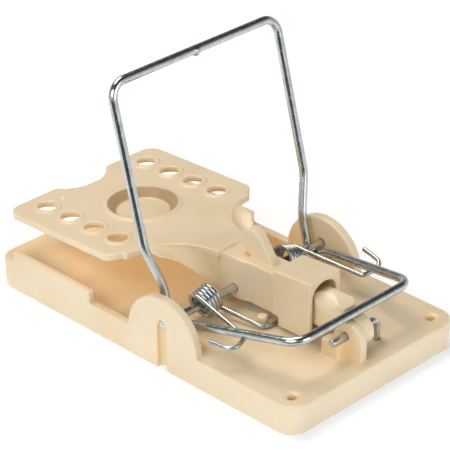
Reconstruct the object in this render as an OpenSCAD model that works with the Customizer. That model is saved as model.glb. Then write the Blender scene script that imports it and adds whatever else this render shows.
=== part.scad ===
/* [Base] */
// Length of the base, front to back
base_len = 108; // [90:1:140]
// Width of the base across both side walls
base_w = 61; // [54:1:80]
// Height of the front deck above the ground
deck_h = 8; // [7:0.1:12]
// Radius of the four upright corners
corner_r = 5; // [4:0.5:6]
// Thickness of the deck and of the tray floor
skin = 2; // [1.5:0.1:2.5]
// Thickness of the side walls
wall = 2.3; // [1.6:0.1:3]
// Height of the two rear side rails above the deck
rail_h = 3.1; // [1:0.1:4]
// Depth of the tray floor below the deck, at its low front end
tray_depth = 4.5; // [3:0.1:5]

/* [Ears and axle] */
// Radius of the round top of each ear
ear_r = 12.2; // [11:0.1:13]
// Thickness of each ear
ear_t = 2.6; // [2:0.1:3.5]
// Distance from the front edge of the base back to the axle
axle_back = 45; // [40:0.5:52]
// Height of the axle above the deck
axle_up = 4.8; // [4:0.1:6]
// Diameter of the axle
axle_d = 2.3; // [2:0.1:2.6]
// Width of the slot below the axle in each ear
slot_w = 3.2; // [2.8:0.1:4]
// Radial clearance of a running fit
fit = 0.05; // [0.03:0.01:0.1]

/* [Kill bar] */
// Diameter of the kill bar wire
wire_d = 2.35; // [2:0.05:2.6]
// Distance from the axle to the striking crossbar
bar_reach = 61.9; // [56:0.1:64]
// Angle of the crossbar above the front horizontal at rest
bar_angle = 107; // [100:1:112]
// Half width between the upright legs
bar_half = 28.8; // [28.6:0.1:29.4]
// Distance up each leg from the axle to where it starts to slant inwards
leg_jog = 20; // [19:0.5:24]
// Half width of the loop where it passes the axle
hub_half = 25.3; // [25:0.1:25.6]
// Distance from the axle to the setting crossbar
bail_reach = 37.5; // [34:0.1:38]
// Angle of the setting crossbar above the horizontal at rest
bail_angle = 9.8; // [8:0.1:11]
// Half width of the loop at the setting crossbar
bail_half = 20.6; // [17:0.1:21.5]
// Bend radius at the two corners of the striking end
bend_r = 4.5; // [3:0.1:6]
// Bend radius at the two corners of the setting end
bail_bend_r = 4.6; // [3:0.1:6]

/* [Springs] */
// Diameter of the spring wire
spring_d = 1.3; // [1:0.1:1.4]
// Mean radius of the coil
coil_r = 3.45; // [3.3:0.05:3.6]
// Number of turns in each coil
turns = 5; // [4:1:5]
// Width of each coil along the axle
spring_w = 5.9; // [5:0.1:7]
// Distance of the coil's inner end from the middle of the trap
coil_in = 11.7; // [11:0.1:12.5]

/* [Trip pedal] */
// Half width of the pedal plate
pedal_half = 26.5; // [22:0.1:27]
// Thickness of the plate
plate_t = 1.9; // [1.5:0.1:2.2]
// Height of the plate's top above the axle, in line with the axle
plate_up = 9.6; // [9:0.1:11]
// Slope of the plate, low at the rear
plate_tilt = 2.4; // [1.5:0.1:3]
// Distance from the axle back to the plate's rear edge
plate_back = 63; // [58:0.5:64]
// Distance from the axle back to the plate's front corners
plate_front = 22.5; // [21:0.5:24]
// Radius of the bait cup at its mouth
cup_r = 9.4; // [8:0.1:10]
// Depth of the bait cup
cup_depth = 1.9; // [1:0.1:2.2]
// Distance from the axle back to the middle of the cup
cup_back = 38.5; // [37:0.5:40]
// Diameter of the scent holes
hole_d = 5.2; // [3:0.1:5.6]
// Thickness of the plate's skin round each scent hole
hole_skin = 0.8; // [0.6:0.1:1.4]
// Spacing of the scent holes along each side
hole_pitch = 9.1; // [7:0.1:9.4]
// Half width between the two rows of scent holes
hole_half = 18; // [17:0.1:19]
// Half width of the arm
arm_half = 3.8; // [3.4:0.1:4.4]
// Half width of the head over the latch
head_half = 5.6; // [5.4:0.1:6]

/* [Latch] */
// Diameter of the latch pin
pin_d = 2; // [1.6:0.1:2.2]
// Height of the latch pin above the deck
pin_up = 5.5; // [5.4:0.1:6]
// Radius of the latch's round hub
hub_r = 4.1; // [3.6:0.1:4.2]
// Half width of the latch's tongue
tongue_half = 4; // [3.2:0.1:4]

/* [Fixing holes] */
// Diameter of the two nail holes
nail_d = 2.4; // [2:0.1:3.2]

/* [Hidden] */
$fn = 48;
eps = 0.01;
cream = [0.87, 0.78, 0.65];
steel = [0.72, 0.74, 0.75];

half_len = base_len / 2;
half_w = base_w / 2;
axle_x = half_len - axle_back;
axle_z = deck_h + axle_up;
axle_r = axle_d / 2;
wire_r = wire_d / 2;
gap = 0.3;
ear_in = half_w - ear_t;
ear_web = 1;

// Vectors
function unit(v) = v / norm(v);
function polar(r, a) = [r * cos(a), r * sin(a)];

// Points of the wire loop, seen from the side: x and z relative to the axle
wrap = axle_r + wire_r + fit;
leg_dir = bar_angle - asin(wrap / bar_reach);
// The bail dips under the axle, then rises to a knee and runs straight from there
knee = [5.5, 0.3];
knee_half = 25.2;
knee_r = 6;
dip_dir = atan2(knee[1], knee[0]) + asin(wrap / norm(knee));
bar_top = polar(bar_reach, bar_angle);
bail_end = polar(bail_reach, bail_angle);
// The corner under the axle, between the leg's line and the dip's line
corner_a = (leg_dir - dip_dir) / 2;
hub_xz = polar(wrap / sin(corner_a), leg_dir - corner_a + 180);
jog_len = 11;
jog_top = hub_xz + polar(leg_jog + 2.3, leg_dir);
jog_low = hub_xz + polar(leg_jog + 2.3 - jog_len, leg_dir);

function at_axle(p, y) = [axle_x + p[0], y, axle_z + p[1]];

// Steel wire: straight runs between the points, with a round bend at each inner point
seam = 0.05;

module rod(a, b, d) {
    v = b - a;
    translate(a)
        rotate([0, acos(v[2] / norm(v)), atan2(v[1], v[0])])
            cylinder(h = norm(v), d = d);
}

module bend(a, p, b, r, d) {
    u = unit(a - p);
    v = unit(b - p);
    turn = acos(u * v);
    centre = p + unit(u + v) * r / sin(turn / 2);
    x = unit(p + u * r / tan(turn / 2) - centre);
    n = unit(cross(v, u));
    y = cross(n, x);
    multmatrix([[x[0], y[0], n[0], centre[0]],
                [x[1], y[1], n[1], centre[1]],
                [x[2], y[2], n[2], centre[2]],
                [0, 0, 0, 1]])
        rotate_extrude(angle = 180 - turn)
            translate([r, 0])
                circle(d = d);
}

function trim(a, p, b, r) = r == 0 ? 0 : r / tan(acos(unit(a - p) * unit(b - p)) / 2) - seam;

module wire(points, radii, d, closed = false) {
    n = len(points);
    for (i = [0 : closed ? n - 1 : n - 2]) {
        a = points[i];
        b = points[(i + 1) % n];
        along = unit(b - a);
        rod(a + along * trim(points[(i + n - 1) % n], a, b, radii[i]),
            b - along * trim(a, b, points[(i + 2) % n], radii[(i + 1) % n]), d);
    }
    for (i = [0 : n - 1])
        if (radii[i] > 0)
            bend(points[(i + n - 1) % n], points[i], points[(i + 1) % n], radii[i], d - 0.03);
}

module mirrored_y() {
    children();
    mirror([0, 1, 0]) children();
}

module plan(len_x, wid_y, r) {
    square([len_x - 2 * r, wid_y], center = true);
    square([len_x, wid_y - 2 * r], center = true);
    for (x = [-1, 1], y = [-1, 1])
        translate([x * (len_x / 2 - r), y * (wid_y / 2 - r)])
            circle(r);
}

// Base moulding
tray_front = axle_x - 7;
ramp_end = tray_front - 18;
rail_rear = -half_len + corner_r + 1.5;
rail_front = axle_x - 26.8;
boss_x = axle_x + 11.7;
boss_y = 6.4;
boss_d = 2.8;
pin_x = half_len - 8.3;
pin_z = deck_h + pin_up;
pin_r = pin_d / 2;
nail_in = corner_r;

module tray_cut() {
    rotate([90, 0, 0])
        linear_extrude(base_w - 2 * wall, center = true)
            polygon([[-half_len - 1, deck_h], [ramp_end, deck_h - tray_depth],
                     [tray_front, deck_h - tray_depth], [tray_front, deck_h + 1], [-half_len - 1, deck_h + 1]]);
}

module underside() {
    rotate([90, 0, 0])
        linear_extrude(base_w - 2 * wall, center = true)
            polygon([[-half_len + wall, -1], [-half_len + wall, deck_h - skin - 0.3],
                     [ramp_end - 6, deck_h - tray_depth - skin + 0.6], [ramp_end - 6, -1]]);
    translate([tray_front + wall, -half_w + wall, -1])
        cube([half_len - wall - tray_front - wall, base_w - 2 * wall, deck_h - skin + 1]);
}

// Bosses under the deck, round the nail holes
module nail_bosses() {
    for (y = [-1, 1])
        translate([half_len - nail_in, y * (half_w - nail_in), 0])
            cylinder(h = deck_h - skin + eps, d = nail_d + 4);
}

module ear_plate() {
    translate([axle_x, half_w, deck_h])
        rotate([90, 0, 0])
            linear_extrude(ear_t)
                difference() {
                    circle(ear_r, $fn = 96);
                    translate([-ear_r - 1, -2 * ear_r - skin])
                        square([2 * ear_r + 2, 2 * ear_r]);
                }
}

module axle_seat() {
    translate([axle_x, 0, axle_z])
        rotate([90, 0, 0])
            cylinder(h = base_w + 2, r = axle_r + fit, center = true);
    // Slot below the axle, open on the outside of the ear
    mirrored_y()
        translate([axle_x - slot_w / 2, ear_in + ear_web, -1])
            cube([slot_w, ear_t, axle_z - 0.4 + 1]);
}

cheek_y = -3.3;
cheek_t = 2.1;
cheek_x = pin_x + 0.9;
cheek_z = pin_z - 0.5;
cheek_r = 4.6;
post_x = pin_x - 4.9;
post_y = -6.7;

module pin_bracket() {
    // Upright cheek with a round top, beside the latch's hub
    translate([cheek_x, cheek_y + cheek_t, 0])
        rotate([90, 0, 0])
            linear_extrude(cheek_t) {
                translate([0, cheek_z])
                    circle(cheek_r);
                translate([-cheek_r, deck_h - 1])
                    square([2 * cheek_r, cheek_z - deck_h + 1]);
            }
    // Low post that carries the pin's plain end
    translate([post_x, post_y, deck_h - 1])
        cube([5.8, cheek_y - post_y + eps, pin_up - 0.9 + 1]);
}

module base() {
    color(cream)
        difference() {
            union() {
                difference() {
                    union() {
                        linear_extrude(deck_h)
                            plan(base_len, base_w, corner_r);
                        mirrored_y()
                            translate([rail_rear, half_w - wall, deck_h - eps])
                                cube([rail_front - rail_rear, wall, rail_h + eps]);
                    }
                    tray_cut();
                    underside();
                }
                intersection() {
                    linear_extrude(deck_h)
                        plan(base_len, base_w, corner_r);
                    nail_bosses();
                }
                mirrored_y() {
                    ear_plate();
                    translate([boss_x, boss_y, deck_h - eps])
                        cylinder(h = 2.4, d = boss_d);
                }
                pin_bracket();
            }
            axle_seat();
            // Nail holes with a shallow dimple
            for (y = [-1, 1])
                translate([half_len - nail_in, y * (half_w - nail_in), 0]) {
                    translate([0, 0, -1]) cylinder(h = deck_h + 2, d = nail_d);
                    translate([0, 0, deck_h - 0.3]) cylinder(h = 1, d = nail_d + 2);
                }
            // Bore of the pin through the cheek, and its shallow seat on the post
            translate([pin_x, 0, pin_z])
                rotate([90, 0, 0])
                    cylinder(h = 20, r = pin_r + fit, center = true);
            // Hole that takes the pin's bent end
            translate([pin_x, pin_bend_y, -1])
                cylinder(h = deck_h + 2, r = pin_r + fit);
        }
}

// Axle: one straight rod from ear to ear
module axle() {
    color(steel)
        translate([axle_x, 0, axle_z])
            rotate([90, 0, 0])
                cylinder(h = base_w - 0.4, r = axle_r, center = true);
}

// Kill bar and setting bail: one closed loop of wire
module kill_bar() {
    side = [[bar_top, bar_half], [jog_top, bar_half], [jog_low, hub_half], [hub_xz, hub_half - 0.05],
            [knee, knee_half], [bail_end, bail_half]];
    radii = [bend_r, 12, 12, wrap - 0.35, knee_r, bail_bend_r];
    last = len(side) - 1;
    right = [for (p = side) at_axle(p[0], p[1])];
    left = [for (i = [last : -1 : 0]) at_axle(side[i][0], -side[i][1])];
    color(steel)
        wire(concat(right, left), concat(radii, [for (i = [last : -1 : 0]) radii[i]]), wire_d, closed = true);
}

// Torsion spring: a coil round the axle, a leg on the deck and a hook under the bail
coil_len = spring_w - spring_d;
coil_pitch = coil_len / (turns - 1);
coil_mid = coil_in + spring_w / 2;
coil_lift = 0.45;
coil_tilt = -18;
leg_z = deck_h + spring_d / 2 + 0.1;
hook_x = 21.3;

// A point of the coil's centre line, y along the coil from its middle, a the angle round it
function on_coil(y, a) = [axle_x + coil_r * cos(a),
                          coil_mid + y * cos(coil_tilt) - coil_r * sin(a) * sin(coil_tilt),
                          axle_z + coil_lift + y * sin(coil_tilt) + coil_r * sin(a) * cos(coil_tilt)];

// tail_out and tail_up place the hook's outer corner and tip, which are bent by hand and differ a little
module spring(tail_out, tail_up) {
    bail_t = (hook_x - knee[0]) / (bail_end[0] - knee[0]);
    bail_y = knee_half + (bail_half - knee_half) * bail_t;
    bail_z = axle_z + knee[1] + (bail_end[1] - knee[1]) * bail_t;
    hook_z = bail_z - (wire_r + spring_d / 2) * 1.03 - 0.08 - 0.14 * max(tail_up, 0);
    hook_front = axle_x + hook_x;
    color(steel) {
        translate([axle_x, coil_mid, axle_z + coil_lift])
            rotate([90 + coil_tilt, 0, 0])
                rotate_extrude()
                    for (i = [0 : turns - 1])
                        translate([coil_r, (i - (turns - 1) / 2) * coil_pitch])
                            circle(d = spring_d, $fn = 24);
        wire([on_coil(-coil_len / 2, -95), [boss_x + 2.6, boss_y + 2.3, leg_z], [boss_x + 3.2, boss_y - 2.6, leg_z]],
             [0, 2, 0], spring_d - 0.04);
        wire([on_coil(coil_len / 2, 80), [hook_front - 0.8, bail_y - 1.4, hook_z],
              [hook_front + 1.2, bail_y + tail_out, hook_z + tail_up / 2],
              [hook_front - 6.6, bail_y + tail_out + 0.4, hook_z + tail_up]],
             [0, 1.7, 2.6, 0], spring_d - 0.04);
    }
}

module spring_right() {
    spring(4.8, 3);
}

module spring_left() {
    mirror([0, 1, 0]) spring(4.8, -0.8);
}

// Trip pedal: plate with bait cup, arm, finger fin and the head over the latch.
// Everything here is placed relative to the axle.
edge_r = 4;
scallop_r = 10.5;
scallop_x = -plate_back - 5.6;
shoulder_r = 2.5;
shoulder_y = sqrt(pow(scallop_r + shoulder_r, 2) - pow(plate_back - shoulder_r + scallop_x, 2));
scallop_y = shoulder_y * scallop_r / (scallop_r + shoulder_r);
neck_r = 16.4;
neck_x = -4.5;
arm_top = 8.8;
arm_low = 2.8;
arm_wall = 1.3;
arm_wide = 4.7;
head_back = 14.2;
head_front = 26.9;
head_up = 11.3;
head_low = 4;
head_wall = 1.3;
head_rise = 0.9;
ring_h = 0.5;
fin_t = 2.9;
fin_top = 16.7;
fin_rear = -0.7;
fin_foot = 10.3;
fin_r = 3.6;

module plate_outline() {
    difference() {
        union() {
            translate([-(plate_back + plate_front) / 2, 0])
                plan(plate_back - plate_front, 2 * pedal_half, edge_r);
            translate([-plate_front - edge_r, -pedal_half + edge_r])
                square([plate_front + edge_r + neck_x, 2 * (pedal_half - edge_r)]);
        }
        // Concave edges of the neck
        mirrored_y()
            translate([neck_x, pedal_half - edge_r])
                circle(neck_r, $fn = 96);
        // Scallop in the rear edge
        translate([scallop_x, 0])
            circle(scallop_r, $fn = 96);
        mirrored_y()
            difference() {
                translate([-plate_back - 1, 0])
                    square([shoulder_r + 1, shoulder_y]);
                translate([-plate_back + shoulder_r, shoulder_y])
                    circle(shoulder_r);
                translate([-plate_back + shoulder_r * 0.5, scallop_y])
                    square([shoulder_r, shoulder_y - scallop_y]);
            }
    }
}

// The pedal's plate, in its own slope: z = 0 is its top face
module plate() {
    rows = [for (i = [0 : 3]) -cup_back - 17.6 + i * hole_pitch];
    difference() {
        union() {
            translate([0, 0, -plate_t])
                linear_extrude(plate_t)
                    plate_outline();
            // Soft rings round the cup and the scent holes
            translate([-cup_back, 0, -plate_t - cup_depth])
                cylinder(h = plate_t + cup_depth + ring_h, r1 = cup_r - 1.2, r2 = cup_r + 0.9);
            for (x = rows, y = [-1, 1])
                translate([x, y * hole_half, -plate_t])
                    cylinder(h = plate_t + ring_h, r1 = hole_d / 2 + 1.6, r2 = hole_d / 2 + 0.9);
            // Low ridge across the rear
            translate([-plate_back + 5.4, -12, -plate_t])
                cube([1, 24, plate_t + ring_h]);
        }
        translate([-cup_back, 0, -cup_depth])
            cylinder(h = cup_depth + ring_h + eps, r1 = cup_r - 2.2, r2 = cup_r);
        for (x = rows, y = [-1, 1])
            translate([x, y * hole_half, -plate_t - 1])
                cylinder(h = plate_t + 2, d = hole_d);
        // The plate is thinned from below round each hole
        for (x = rows, y = [-1, 1])
            translate([x, y * hole_half, -plate_t - 1])
                cylinder(h = plate_t + 1 - hole_skin, d = hole_d + 2.2);
    }
}

// Web that carries the plate's concave edge down to the arm: its upper line follows that edge, its lower line
// runs from under the plate to the foot of the arm's side
web_n = 24;
web_t = 0.9;
web_out = 16.9;
web_low_rear = -4.9;
web_sweep = 9.6;

function neck_edge(y) = neck_x - sqrt(neck_r * neck_r - pow(min(pedal_half - edge_r - y, neck_r), 2));
function web_top(u) = let (y = web_out + 0.4 - (web_out - 5.2) * u)
    [neck_edge(y) - 0.6, y, plate_up - 0.2 + neck_edge(y) * tan(plate_tilt)];
function web_low(u) = [web_low_rear - web_sweep * pow(1 - u, 2), arm_half + (web_out - arm_half) * (1 - u),
    -arm_low + (plate_up - 1.5 + arm_low) * sin(90 * pow(1 - u, 1.35))];

module web() {
    top = [for (i = [0 : web_n]) web_top(i / web_n)];
    low = [for (i = [0 : web_n]) web_low(i / web_n)];
    under = [-web_t, -web_t, -web_t];
    m = web_n + 1;
    points = concat(top, low, [for (p = top) p + under], [for (p = low) p + under]);
    strip = function (a, b) [for (i = [0 : web_n - 1], k = [0, 1])
        k == 0 ? [b + i + 1, a + i + 1, a + i] : [b + i, b + i + 1, a + i]];
    caps = [[3 * m, m, 0], [2 * m, 3 * m, 0], [4 * m - 1, 3 * m - 1, m - 1], [2 * m - 1, 4 * m - 1, m - 1]];
    polyhedron(points, concat(strip(0, m), strip(m, 3 * m), strip(3 * m, 2 * m), strip(2 * m, 0), caps));
}

module arm() {
    difference() {
        union() {
            translate([-11, -arm_half, -arm_low])
                cube([11 + head_back + 1, 2 * arm_half, arm_top + arm_low]);
            // The arm widens towards the neck
            translate([0, 0, -arm_low])
                linear_extrude(arm_top + arm_low)
                    polygon([[neck_x - 4, arm_wide], [axle_r + 1, arm_wide], [axle_r + 4, arm_half - eps],
                             [axle_r + 4, -arm_half + eps], [axle_r + 1, -arm_wide], [neck_x - 4, -arm_wide]]);
        }
        translate([-12, -arm_half + arm_wall, -arm_low - 1])
            cube([12 + head_back + head_wall, 2 * (arm_half - arm_wall), arm_top + arm_low + 1 - arm_wall]);
    }
}

// Head: a cap over the latch's tail, open below and in front
module head() {
    inner = head_half - head_wall;
    arch_r = inner - 0.6;
    roof = head_up + head_rise - head_wall;
    difference() {
        rotate([90, 0, 0])
            linear_extrude(2 * head_half, center = true)
                polygon([[head_back, -head_low], [head_front, -head_low], [head_front, head_up + head_rise],
                         [head_back, head_up]]);
        translate([head_back + head_wall, 0, 0])
            rotate([90, 0, 90])
                linear_extrude(head_front) {
                    translate([-inner, -head_low - 1]) square([2 * inner, roof - arch_r + head_low + 1]);
                    translate([-inner + arch_r, 0]) square([2 * (inner - arch_r), roof]);
                    for (y = [-1, 1])
                        translate([y * (inner - arch_r), roof - arch_r])
                            circle(arch_r);
                }
        // Room for the spring legs under the rear edge
        translate([head_back - 1, -head_half - 1, -head_low - 1])
            cube([3, 2 * head_half + 2, head_low - 0.4]);
    }
}

// Finger fin on top of the arm
module fin() {
    c = [fin_rear + fin_r, fin_top - fin_r];
    foot = [fin_foot, arm_top];
    v = c - foot;
    slope = atan2(v[1], v[0]) - asin(fin_r / norm(v));
    touch = foot + polar(sqrt(norm(v) * norm(v) - fin_r * fin_r), slope);
    rotate([90, 0, 0])
        linear_extrude(fin_t, center = true)
            difference() {
                union() {
                    translate(c) circle(fin_r);
                    polygon([[fin_rear, arm_top - 1], [fin_rear, c[1]], c, touch, foot, [fin_foot, arm_top - 1]]);
                }
                // Slot under the fin's rear foot
                polygon([[fin_rear - 1, arm_top], [fin_rear - 1, arm_top + 1.7], [fin_rear + 1.8, arm_top + 1.2],
                         [fin_rear + 4, arm_top]]);
            }
}

module trip_pedal() {
    color(cream)
        translate([axle_x, 0, axle_z])
            difference() {
                union() {
                    translate([0, 0, plate_up])
                        rotate([0, -plate_tilt, 0])
                            plate();
                    mirrored_y() web();
                    arm();
                    head();
                    fin();
                }
                rotate([90, 0, 0])
                    cylinder(h = 20, r = axle_r + fit, center = true);
            }
}

// Latch: hub on the pin, a domed thumb pad, and a tail inside the pedal's head
latch_y = -0.9;
latch_w = 4;
dome_r = 9;
dome_x = pin_x - 7.1;
dome_z = deck_h + 5;
pad_front = 35.2;
pad_rear = 24.2;
pad_low = deck_h + 4.5;
pad_rim = deck_h + 9.3;
pad_curve = 9;
stem_half = 3.2;

module dome() {
    translate([dome_x, 0, dome_z])
        rotate([90, 0, 0])
            cylinder(h = 20, r = dome_r, center = true);
}

module pad_outline() {
    intersection_for (side = [-1, 1])
        translate([dome_x, side * (pad_curve - tongue_half), 0])
            cylinder(h = 50, r = pad_curve, $fn = 96);
}

module latch() {
    color(cream)
        difference() {
            union() {
                translate([pin_x, latch_y, pin_z])
                    rotate([-90, 0, 0])
                        cylinder(h = latch_w, r = hub_r);
                // Thumb pad: domed, with an oval outline
                intersection() {
                    dome();
                    union() {
                        translate([axle_x, 0, deck_h + 10])
                            rotate([0, 90, 0])
                                cylinder(h = 50, r = tongue_half);
                        translate([axle_x, -tongue_half, 0])
                            cube([50, 2 * tongue_half, deck_h + 10]);
                    }
                    pad_outline();
                    translate([axle_x + pad_rear, -10, pad_rim])
                        cube([pad_front - pad_rear, 20, 20]);
                }
                // Stem under the pad
                intersection() {
                    dome();
                    translate([axle_x + pad_rear + 0.8, -stem_half, pad_low])
                        cube([pad_front - pad_rear - 0.8, 2 * stem_half, pad_rim - pad_low + 0.4]);
                }
            }
            translate([pin_x, 0, pin_z])
                rotate([90, 0, 0])
                    cylinder(h = 20, r = pin_r + fit, center = true);
            // Clear of the upright cheek and of the low post
            translate([cheek_x, latch_y, cheek_z])
                rotate([90, 0, 0])
                    cylinder(h = 10, r = cheek_r + 0.5);
            translate([post_x - 0.8, latch_y - 10, 0])
                cube([20, 10, cheek_z]);
            translate([post_x - 0.8, cheek_y - 10 + gap, 0])
                cube([20, 10, cheek_z + 1.5]);
        }
}

// Latch pin: a straight rod with one end bent down into the deck
pin_bend_y = 8.4;

module latch_pin() {
    color(steel)
        wire([[pin_x, post_y - 1.6, pin_z], [pin_x, pin_bend_y, pin_z], [pin_x, pin_bend_y, 1]],
             [0, 2, 0], pin_d);
}

base();
axle();
kill_bar();
spring_left();
spring_right();
trip_pedal();
latch();
latch_pin();
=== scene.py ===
"""Looks of the snap mouse trap: soft-edged moulded plastic, plated wire, wound springs, and a plain studio."""

import math

import bpy
import bmesh
from mathutils import Matrix, Vector


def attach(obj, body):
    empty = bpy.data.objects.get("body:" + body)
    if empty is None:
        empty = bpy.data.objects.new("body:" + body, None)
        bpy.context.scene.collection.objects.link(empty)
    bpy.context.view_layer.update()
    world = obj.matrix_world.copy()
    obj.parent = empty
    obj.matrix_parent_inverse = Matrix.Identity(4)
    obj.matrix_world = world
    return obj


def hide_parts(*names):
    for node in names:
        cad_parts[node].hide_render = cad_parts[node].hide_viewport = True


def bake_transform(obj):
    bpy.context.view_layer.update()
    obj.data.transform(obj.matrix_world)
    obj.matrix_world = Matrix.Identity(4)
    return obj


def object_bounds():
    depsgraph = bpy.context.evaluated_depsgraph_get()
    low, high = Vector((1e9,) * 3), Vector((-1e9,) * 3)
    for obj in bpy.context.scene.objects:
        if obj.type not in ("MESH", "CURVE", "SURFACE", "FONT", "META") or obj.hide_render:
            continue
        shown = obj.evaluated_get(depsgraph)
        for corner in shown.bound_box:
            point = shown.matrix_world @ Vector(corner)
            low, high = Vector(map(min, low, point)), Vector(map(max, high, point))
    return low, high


MM = 0.001
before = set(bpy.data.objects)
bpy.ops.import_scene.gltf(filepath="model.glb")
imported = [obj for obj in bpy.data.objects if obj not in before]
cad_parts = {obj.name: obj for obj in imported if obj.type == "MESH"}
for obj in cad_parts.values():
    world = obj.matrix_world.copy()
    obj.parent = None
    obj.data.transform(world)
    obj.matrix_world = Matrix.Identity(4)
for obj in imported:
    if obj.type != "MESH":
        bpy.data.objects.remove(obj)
cad_box = [list(corner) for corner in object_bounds()]

BASE, BAR, PEDAL, LATCH = "base_body", "kill_bar_body", "pedal_body", "latch_body"


# Sizes repeated from the CAD source or worked out from its own, in millimetres and degrees
AXLE = Vector((9, 0, 12.8))
AXLE_D = 2.3
AXLE_LENGTH = 60.6
WIRE_D = 2.35
BAR_REACH, BAR_ANGLE, BAR_HALF = 61.9, 107, 28.8
LEG_JOG, JOG_LENGTH = 22.3, 11
HUB_HALF = 25.3
BAIL_REACH, BAIL_ANGLE, BAIL_HALF = 37.5, 9.8, 20.6
KNEE, KNEE_HALF = (5.5, 0.3), 25.2
BAR_BEND, JOG_BEND, KNEE_BEND, BAIL_BEND = 4.5, 12, 6, 4.6
FIT = 0.05
COIL_R, COIL_MID, COIL_WIDTH = 3.45, 14.65, 5.9
COIL_LIFT, COIL_TILT = 0.45, -18
SPRING_CAD_D = 1.3
CUP, CUP_R = (-29.5, 0, 20.8), 9.4
LEG_Z = 8.75
HOOK_X = 21.3
BOSS = (20.7, 6.4)
HAIRPIN, HAIRPIN_BEND = ((3.2, -2.6), (2.6, 2.3)), 2
HOOK_FOOT, HOOK_TURN, HOOK_END = (-0.8, -1.4), 1.2, (-6.6, 0.4)
HOOK_BENDS = (1.7, 2.6)
PIN_D = 2.0
PIN_X, PIN_Z, PIN_END, PIN_BEND = 45.7, 13.5, -8.3, 8.4
PIN_FOOT, PIN_RADIUS = 1, 2

# Sizes of the looks alone: the helix's whole turns, its wire, which is thinner than the CAD's, and the weld
COIL_TURNS, SPRING_D = 4, 1.22
WELD, WELD_WIDTH = 0.3, 0.9

# Colours: the plastic, the golden painted shade of its shut-in corners, the dark painted shade of the bait
# cup's wall, the latch, and the two kinds of wire
CREAM = (0.82, 0.66, 0.45)
SHADE_GOLD = (0.97, 0.66, 0.29)
CUP_WALL_SHADE = (0.42, 0.25, 0.10)
LATCH_CREAM = (0.85, 0.69, 0.47)
ZINC = (0.60, 0.62, 0.61)
SPRING_STEEL = (0.50, 0.52, 0.52)

# How fine each pattern is, in features per metre: on the plastic, then on the wire
FLOW, SHEEN, GRAIN, RIPPLE = 55, 240, 2600, 120
ZINC_CLOUD, POLISH, DRAWN = 420, 900, 1500

# Studio: lamp tints, the degrees that the dark card spans, and its edges as (distance, height) in metres
COOL_KEY, COOL_FILL = (0.88, 0.96, 1.02), (0.92, 1.0, 1.1)
WARM_TOP, GOLDEN = (1.0, 0.94, 0.83), (1.0, 0.72, 0.33)
CARD_SWEEP, CARD_STEP = (-95, -10), 5
CARD_EDGES = ((0.1, 0.0005), (0.6, 0.0005), (0.6, 0.12))
CAMERA_PLACE, CAMERA_AIM = (361.38, -361.99, 308.43), (-7.2, 8.4, 19.6)
LENS, SENSOR, ROLL = 182.87, 36, -0.215


def mm(x, y, z):
    return Vector((x, y, z)) * MM


# ---------------------------------------------------------------- materials

def nodes_of(name):
    """A new material with only its Principled shader, and a helper that adds nodes."""
    mat = bpy.data.materials.new(name)
    mat.use_nodes = True
    tree = mat.node_tree
    shader = tree.nodes["Principled BSDF"]

    def add(kind, **values):
        node = tree.nodes.new(kind)
        for key, value in values.items():
            if key in node.inputs:
                node.inputs[key].default_value = value
            else:
                setattr(node, key, value)
        return node

    return mat, tree.links.new, shader, add


def noise(add, link, where, scale, detail=3.0, rough=0.5):
    node = add("ShaderNodeTexNoise", Scale=scale, Detail=detail, Roughness=rough)
    link(where, node.inputs["Vector"])
    return node.outputs["Fac"]


def remap(add, link, value, low, high, out_low, out_high):
    node = add("ShaderNodeMapRange")
    link(value, node.inputs["Value"])
    for key, number in zip(("From Min", "From Max", "To Min", "To Max"), (low, high, out_low, out_high)):
        node.inputs[key].default_value = number
    return node.outputs["Result"]


def colours(add, link, value, *stops):
    ramp = add("ShaderNodeValToRGB")
    elements = ramp.color_ramp.elements
    while len(elements) < len(stops):
        elements.new(0.5)
    for element, (place, colour) in zip(elements, stops):
        element.position = place
        element.color = (*colour, 1)
    link(value, ramp.inputs["Fac"])
    return ramp.outputs["Color"]


def mixed(add, link, factor, skin, colour):
    """The skin colour, turned into another where the factor is 1."""
    blend = add("ShaderNodeMix", data_type="RGBA")
    facs = [i for i in blend.inputs if i.type == "RGBA"]
    link(factor, blend.inputs[0])
    link(skin, facs[0])
    facs[1].default_value = (*colour, 1)
    return next(o for o in blend.outputs if o.type == "RGBA")


def cup_wall_shade(add, link, where):
    """1 on the sloping wall of the bait cup, which gets a dark brown painted shade."""
    centre = add("ShaderNodeVectorMath", operation="SUBTRACT")
    link(where, centre.inputs[0])
    centre.inputs[1].default_value = mm(*CUP)
    flat = add("ShaderNodeVectorMath", operation="MULTIPLY")
    link(centre.outputs[0], flat.inputs[0])
    flat.inputs[1].default_value = (1, 1, 0)
    length = add("ShaderNodeVectorMath", operation="LENGTH")
    link(flat.outputs[0], length.inputs[0])
    radius = length.outputs["Value"]
    rise = remap(add, link, radius, (CUP_R - 2.5) * MM, (CUP_R - 2.0) * MM, 0, 0.85)
    fall = remap(add, link, radius, (CUP_R - 0.1) * MM, (CUP_R + 0.3) * MM, 1, 0)
    both = add("ShaderNodeMath", operation="MULTIPLY")
    link(rise, both.inputs[0])
    link(fall, both.inputs[1])
    return both.outputs[0]


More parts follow.
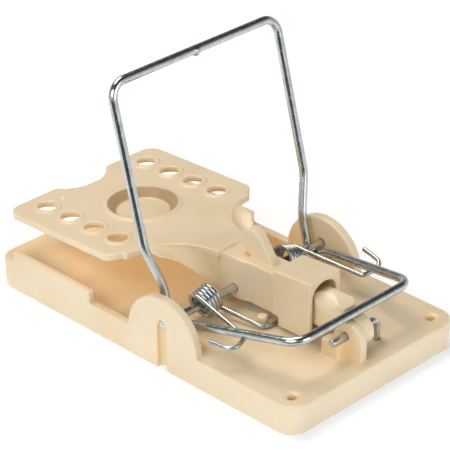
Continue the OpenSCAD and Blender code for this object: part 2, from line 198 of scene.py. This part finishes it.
def plastic(name, tint, reach, shade_strength, cup=False):
    """Satin moulded plastic: flow clouds, uneven sheen, spark-eroded texture, and golden painted shade in
    shut-in corners.
    """
    mat, link, shader, add = nodes_of(name)
    where = add("ShaderNodeTexCoord").outputs["Object"]
    cloud = noise(add, link, where, FLOW, 2)
    light = [c * 1.04 for c in tint]
    warm = [tint[0] * 0.97, tint[1] * 0.94, tint[2] * 0.88]
    skin = colours(add, link, cloud, (0.32, warm), (0.52, tint), (0.74, light))
    # Painted shade: where the part's own walls shut a corner in, the colour turns golden brown
    shut = add("ShaderNodeAmbientOcclusion", Distance=reach)
    shut.samples = 6
    shut.only_local = True
    skin = mixed(add, link, remap(add, link, shut.outputs["AO"], 0.3, 0.92, shade_strength, 0), skin, SHADE_GOLD)
    # Painted shade: the bait cup's sloping wall is coloured dark brown
    if cup:
        skin = mixed(add, link, cup_wall_shade(add, link, where), skin, CUP_WALL_SHADE)
    link(skin, shader.inputs["Base Color"])
    sheen = noise(add, link, where, SHEEN, 3)
    link(remap(add, link, sheen, 0.3, 0.7, 0.36, 0.5), shader.inputs["Roughness"])
    grain = noise(add, link, where, GRAIN, 2)
    swell = noise(add, link, where, RIPPLE, 2)
    both = add("ShaderNodeMath", operation="MULTIPLY_ADD")
    both.inputs[1].default_value = 0.12
    link(grain, both.inputs[0])
    link(swell, both.inputs[2])
    bump = add("ShaderNodeBump", Strength=0.25, Distance=0.0003)
    link(both.outputs[0], bump.inputs["Height"])
    link(bump.outputs["Normal"], shader.inputs["Normal"])
    shader.inputs["Subsurface Weight"].default_value = 0.3
    shader.inputs["Subsurface Radius"].default_value = (1.0, 0.65, 0.35)
    shader.inputs["Subsurface Scale"].default_value = 0.001
    shader.inputs["IOR"].default_value = 1.5
    shader.inputs["Specular IOR Level"].default_value = 0.7
    shader.inputs["Coat Weight"].default_value = 0.4
    shader.inputs["Coat Roughness"].default_value = 0.35
    return mat


def steel(name, tint, rough):
    """Bright plated wire: drawn streaks, cloudy zinc and a little uneven polish."""
    mat, link, shader, add = nodes_of(name)
    where = add("ShaderNodeTexCoord").outputs["Object"]
    cloud = noise(add, link, where, ZINC_CLOUD, 3)
    dark = [c * 0.8 for c in tint]
    link(colours(add, link, cloud, (0.3, dark), (0.6, tint)), shader.inputs["Base Color"])
    polish = noise(add, link, where, POLISH, 3)
    link(remap(add, link, polish, 0.3, 0.7, rough * 0.7, rough * 1.4), shader.inputs["Roughness"])
    shader.inputs["Metallic"].default_value = 1.0
    bump = add("ShaderNodeBump", Strength=0.12, Distance=0.0001)
    link(noise(add, link, where, DRAWN, 3), bump.inputs["Height"])
    link(bump.outputs["Normal"], shader.inputs["Normal"])
    return mat


# Reach is how far, in metres, a wall shuts a corner in, and the last number how deep the golden painted shade
# in that corner gets
base_plastic = plastic("base_plastic", CREAM, 0.02, 0.75)
pedal_plastic = plastic("pedal_plastic", CREAM, 0.005, 0.65, cup=True)
latch_plastic = plastic("latch_plastic", LATCH_CREAM, 0.004, 0.8)
plated = steel("plated_wire", ZINC, 0.21)
sprung = steel("spring_wire", SPRING_STEEL, 0.26)


# ---------------------------------------------------------------- plastic mouldings

def moulded(node, material, body, cell, keep):
    """The CAD solid with a mould's rounded edges: remeshed in cells of so many mm, smoothed, then thinned."""
    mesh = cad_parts[node].data.copy()
    piece = bpy.data.objects.new(node + "_moulding", mesh)
    bpy.context.collection.objects.link(piece)
    work = bmesh.new()
    work.from_mesh(mesh)
    bmesh.ops.remove_doubles(work, verts=work.verts, dist=1e-7)
    work.to_mesh(mesh)
    work.free()
    remesh = piece.modifiers.new("cells", "REMESH")
    remesh.mode = "VOXEL"
    remesh.voxel_size = cell * MM
    smooth = piece.modifiers.new("soft", "SMOOTH")
    smooth.factor = 0.5
    smooth.iterations = 4
    thin = piece.modifiers.new("thin", "DECIMATE")
    thin.ratio = keep
    depsgraph = bpy.context.evaluated_depsgraph_get()
    final = bpy.data.meshes.new_from_object(piece.evaluated_get(depsgraph))
    piece.modifiers.clear()
    piece.data = final
    final.materials.clear()
    final.materials.append(material)
    for face in final.polygons:
        face.use_smooth = True
    shade = piece.modifiers.new("shade", "WEIGHTED_NORMAL")
    shade.keep_sharp = False
    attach(piece, body)
    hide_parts(node)


moulded("base", base_plastic, BASE, 0.32, 0.3)
moulded("trip_pedal", pedal_plastic, PEDAL, 0.26, 0.35)
moulded("latch", latch_plastic, LATCH, 0.2, 0.5)


# ---------------------------------------------------------------- wire

def polar(radius, degrees):
    """A point in the plane across the axle, from the axle's centre."""
    return Vector((radius * math.cos(math.radians(degrees)), radius * math.sin(math.radians(degrees))))


def at_axle(place, y):
    """A point of that plane, moved out along the axle to y."""
    return AXLE + Vector((place[0], y, place[1]))


def bent(points, radii):
    """The centre line of a bent wire: straight runs, with an arc at each corner that has a radius."""
    line = []
    for i, (point, radius) in enumerate(zip(points, radii)):
        if not radius:
            line.append(point)
            continue
        back = (points[i - 1] - point).normalized()
        ahead = (points[(i + 1) % len(points)] - point).normalized()
        half = back.angle(ahead) / 2
        centre = point + (back + ahead).normalized() * radius / math.sin(half)
        start = (point + back * radius / math.tan(half) - centre).normalized()
        end = (point + ahead * radius / math.tan(half) - centre).normalized()
        steps = max(4, int(math.degrees(math.pi - 2 * half) / 6))
        line += [centre + start.slerp(end, k / steps) * radius for k in range(steps + 1)]
    return line


def dense(line, step, closed=False):
    """The same line with no gap over step between its points."""
    ends = line[1:] + line[:1] if closed else line[1:]
    out = []
    for a, b in zip(line, ends):
        parts = max(1, math.ceil((b - a).length / step))
        out += [a.lerp(b, k / parts) for k in range(parts)]
    return out if closed else out + [line[-1]]


def eased(line, rounds):
    """The line with its kinks eased, its ends kept."""
    for _ in range(rounds):
        line = [line[0]] + [b / 2 + (a + c) / 4 for a, b, c in zip(line, line[1:], line[2:])] + [line[-1]]
    return line


def sweep(name, line, diameter, material, closed=False, sides=24, swell=None):
    """Round wire along points in mm, its cut ends rounded. swell(point) thickens it down and sideways."""
    count = len(line)
    tangents = []
    for i in range(count):
        before = line[i - 1] if closed or i else line[0]
        after = line[(i + 1) % count] if closed or i < count - 1 else line[-1]
        tangents.append((after - before).normalized())
    normal = tangents[0].orthogonal().normalized()
    normals = [normal]
    for t0, t1 in zip(tangents, tangents[1:]):
        normal = t0.rotation_difference(t1) @ normal
        normals.append((normal - t1 * normal.dot(t1)).normalized())
    twist = 0
    if closed:
        last = tangents[-1].rotation_difference(tangents[0]) @ normals[-1]
        twist = math.atan2(tangents[0].dot(last.cross(normals[0])), last.dot(normals[0]))
    radius = diameter / 2
    rings = []
    for i, (point, t, n) in enumerate(zip(line, tangents, normals)):
        n = Matrix.Rotation(twist * i / count, 3, t) @ n
        more = swell(point) if swell else 0
        rings.append((point - Vector((0, 0, more)), t, n, radius + more))
    if not closed:
        soft = radius * 0.35
        for end, way in ((0, 1), (-1, -1)):
            point, t, n, _ = rings[end]
            cap = [(point + t * way * soft * (1 - math.sin(math.radians(a))), t, n,
                    radius - soft * (1 - math.cos(math.radians(a)))) for a in (90, 60, 30, 0)]
            rings = cap + rings[1:] if end == 0 else rings[:-1] + cap[::-1]
    verts = []
    for point, t, n, r in rings:
        side = t.cross(n)
        for k in range(sides):
            a = 2 * math.pi * k / sides
            verts.append((point + (n * math.cos(a) + side * math.sin(a)) * r) * MM)
    total = len(rings)
    faces = []
    for i in range(total if closed else total - 1):
        j = (i + 1) % total
        for k in range(sides):
            m = (k + 1) % sides
            faces.append((i * sides + k, i * sides + m, j * sides + m, j * sides + k))
    if not closed:
        faces.append(tuple(reversed(range(sides))))
        faces.append(tuple(range((total - 1) * sides, total * sides)))
    mesh = bpy.data.meshes.new(name)
    mesh.from_pydata(verts, [], faces)
    mesh.materials.append(material)
    for face in mesh.polygons:
        face.use_smooth = True
    piece = bpy.data.objects.new(name, mesh)
    bpy.context.collection.objects.link(piece)
    return piece


def stands_for(piece, node, body=None):
    """Puts a piece in a CAD node's place."""
    if body:
        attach(piece, body)
    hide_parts(node)


def axle():
    """A straight rod through both ears."""
    half = Vector((0, AXLE_LENGTH / 2, 0))
    line = dense([AXLE - half, AXLE + half], 2)
    stands_for(sweep("axle_rod", line, AXLE_D, plated, sides=32), "axle", BASE)


def kill_bar():
    """One closed loop: crossbar, legs, a turn under the axle, and the setting bail."""
    wrap = AXLE_D / 2 + WIRE_D / 2 + FIT
    leg_dir = BAR_ANGLE - math.degrees(math.asin(wrap / BAR_REACH))
    knee = Vector(KNEE)
    dip_dir = math.degrees(math.atan2(knee.y, knee.x) + math.asin(wrap / knee.length))
    corner = (leg_dir - dip_dir) / 2
    hub = polar(wrap / math.sin(math.radians(corner)), leg_dir - corner + 180)
    side = [(polar(BAR_REACH, BAR_ANGLE), BAR_HALF, BAR_BEND),
            (hub + polar(LEG_JOG, leg_dir), BAR_HALF, JOG_BEND),
            (hub + polar(LEG_JOG - JOG_LENGTH, leg_dir), HUB_HALF, JOG_BEND),
            (hub, HUB_HALF - 0.05, wrap - 0.35),
            (knee, KNEE_HALF, KNEE_BEND),
            (polar(BAIL_REACH, BAIL_ANGLE), BAIL_HALF, BAIL_BEND)]
    points = [at_axle(place, y) for place, y, _ in side]
    points += [at_axle(place, -y) for place, y, _ in reversed(side)]
    radii = [bend for _, _, bend in side + side[::-1]]

    def weld(point):
        high = point.z > AXLE.z + BAR_REACH / 2
        return WELD * math.exp(-(point.y / WELD_WIDTH) ** 2) if high and abs(point.y) < 3 else 0

    line = dense(bent(points, radii), 0.5, closed=True)
    loop = sweep("kill_bar_wire", line, WIRE_D, plated, closed=True, swell=weld)
    stands_for(loop, "kill_bar", BAR)


def spring(node, side, tail_out, tail_up):
    """A helix wound so close that its turns run together: hairpin on the deck, hook under the bail."""
    tilt = math.radians(COIL_TILT)
    length = COIL_WIDTH - SPRING_D

    def on_coil(y, degrees):
        a = math.radians(degrees)
        return Vector((AXLE.x + COIL_R * math.cos(a),
                       COIL_MID + y * math.cos(tilt) - COIL_R * math.sin(a) * math.sin(tilt),
                       AXLE.z + COIL_LIFT + y * math.sin(tilt) + COIL_R * math.sin(a) * math.cos(tilt)))

    bail_end = polar(BAIL_REACH, BAIL_ANGLE)
    along = (HOOK_X - KNEE[0]) / (bail_end.x - KNEE[0])
    bail_y = KNEE_HALF + (BAIL_HALF - KNEE_HALF) * along
    bail_z = AXLE.z + KNEE[1] + (bail_end.y - KNEE[1]) * along
    hook_z = bail_z - (WIRE_D + SPRING_CAD_D) / 2 * 1.03 - 0.08 - 0.14 * max(tail_up, 0)
    front = AXLE.x + HOOK_X
    first, wound = -95, COIL_TURNS * 360 + 185
    hairpin = [Vector((BOSS[0] + x, BOSS[1] + y, LEG_Z)) for x, y in HAIRPIN]
    hairpin = bent(hairpin + [on_coil(-length / 2, first)], [0, HAIRPIN_BEND, 0])
    turns = [on_coil(-length / 2 + length * k / 180, first - wound * k / 180) for k in range(181)]
    hook = [turns[-1],
            Vector((front + HOOK_FOOT[0], bail_y + HOOK_FOOT[1], hook_z)),
            Vector((front + HOOK_TURN, bail_y + tail_out, hook_z + tail_up / 2)),
            Vector((front + HOOK_END[0], bail_y + tail_out + HOOK_END[1], hook_z + tail_up))]
    hook = bent(hook, [0, *HOOK_BENDS, 0])
    line = eased(dense(hairpin[:-1] + turns[:-1] + hook, 0.4), 5)
    line = [Vector((p.x, p.y * side, p.z)) for p in line]
    piece = sweep(node + "_helix", line, SPRING_D, sprung, sides=16)
    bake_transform(piece)
    stands_for(piece, node)


def latch_pin():
    """A rod through the latch and its bracket, with one end bent down into the deck."""
    corner = Vector((PIN_X, PIN_BEND, PIN_Z))
    points = [Vector((PIN_X, PIN_END, PIN_Z)), corner, Vector((PIN_X, PIN_BEND, PIN_FOOT))]
    line = dense(bent(points, [0, PIN_RADIUS, 0]), 0.6)
    stands_for(sweep("latch_pin_wire", line, PIN_D, plated), "latch_pin", BASE)


axle()
kill_bar()
spring("spring_right", 1, 4.8, 3)
spring("spring_left", -1, 4.8, -0.8)
latch_pin()


# ---------------------------------------------------------------- studio

def studio():
    """White paper floor, soft lamps, a dark card for the wire to reflect, and a sky that darkens upwards."""
    floor_mesh = bpy.data.meshes.new("floor")
    floor_mesh.from_pydata([(-3, -3, 0), (3, -3, 0), (3, 3, 0), (-3, 3, 0)], [], [(0, 1, 2, 3)])
    floor = bpy.data.objects.new("floor", floor_mesh)
    bpy.context.collection.objects.link(floor)
    floor.location.z = cad_box[0][2] - 0.0001
    mat, link, shader, add = nodes_of("floor_paper")
    where = add("ShaderNodeTexCoord").outputs["Object"]
    link(colours(add, link, noise(add, link, where, 3), (0.3, (0.86, 0.87, 0.88)), (0.7, (0.88, 0.89, 0.90))),
         shader.inputs["Base Color"])
    shader.inputs["Roughness"].default_value = 0.8
    shader.inputs["Emission Color"].default_value = (0.93, 0.98, 1.04, 1)
    shader.inputs["Emission Strength"].default_value = 0.28
    floor_mesh.materials.append(mat)

    def lamp(name, place, size, power, tint, aim=(0, 0, 0.02), reflected=True):
        data = bpy.data.lights.new(name, "AREA")
        data.shape = "RECTANGLE"
        data.size, data.size_y = size
        data.energy = power
        data.color = tint
        light = bpy.data.objects.new(name, data)
        bpy.context.collection.objects.link(light)
        light.location = place
        light.rotation_euler = (Vector(aim) - Vector(place)).to_track_quat("-Z", "Y").to_euler()
        light.visible_camera = False
        light.visible_glossy = reflected

    lamp("key", (0.22, -0.88, 0.68), (0.8, 0.5), 5.7, COOL_KEY)
    lamp("fill", (0.95, 0.15, 0.4), (0.6, 0.5), 2.8, COOL_FILL)
    lamp("top", (-0.4, 0.05, 0.9), (0.6, 0.6), 6.1, WARM_TOP)
    # The warm light that the thin pedal lets through into the tray under it
    lamp("glow", (-0.027, 0, 0.0128), (0.046, 0.044), 0.0022, GOLDEN, (-0.027, 0, 0), reflected=False)

    # A dark card lies in front and turns up at its far edge: it draws the dark line down the bar's legs
    card_mesh = bpy.data.meshes.new("card")
    turns = [math.radians(turn) for turn in range(*CARD_SWEEP, CARD_STEP)]
    strips = [Vector((math.cos(turn), math.sin(turn), 0)) for turn in turns]
    corners = [way * far + Vector((0, 0, high)) for way in strips for far, high in CARD_EDGES]
    row = len(CARD_EDGES)
    faces = [(k, k + 1, k + row + 1, k + row) for k in range(row * (len(strips) - 1)) if k % row < row - 1]
    card_mesh.from_pydata(corners, [], faces)
    card = bpy.data.objects.new("card", card_mesh)
    bpy.context.collection.objects.link(card)
    card.visible_camera = card.visible_diffuse = card.visible_shadow = False
    mat, link, shader, add = nodes_of("card_black")
    shader.inputs["Base Color"].default_value = (0.02, 0.02, 0.02, 1)
    card_mesh.materials.append(mat)

    world = bpy.data.worlds.new("studio")
    bpy.context.scene.world = world
    world.use_nodes = True
    tree = world.node_tree
    sky = tree.nodes["Background"]
    where = tree.nodes.new("ShaderNodeTexCoord")
    axes = tree.nodes.new("ShaderNodeSeparateXYZ")
    ramp = tree.nodes.new("ShaderNodeValToRGB")
    stops = ramp.color_ramp.elements
    stops[0].position, stops[0].color = 0.15, (1, 1, 1, 1)
    stops[1].position, stops[1].color = 0.6, (0.08, 0.085, 0.09, 1)
    tree.links.new(where.outputs["Generated"], axes.inputs[0])
    tree.links.new(axes.outputs["Z"], ramp.inputs["Fac"])
    tree.links.new(ramp.outputs["Color"], sky.inputs["Color"])
    sky.inputs["Strength"].default_value = 0.65


def camera():
    place, aim = mm(*CAMERA_PLACE), mm(*CAMERA_AIM)
    data = bpy.data.cameras.new("camera")
    data.sensor_width = SENSOR
    data.lens = LENS
    data.clip_start = 0.01
    cam = bpy.data.objects.new("camera", data)
    bpy.context.collection.objects.link(cam)
    turn = (aim - place).to_track_quat("-Z", "Y").to_matrix()
    turn = turn @ Matrix.Rotation(math.radians(ROLL), 3, "Z")
    cam.matrix_world = Matrix.Translation(place) @ turn.to_4x4()
    bpy.context.scene.camera = cam


studio()
camera()
bpy.context.scene.view_settings.view_transform = "Standard"
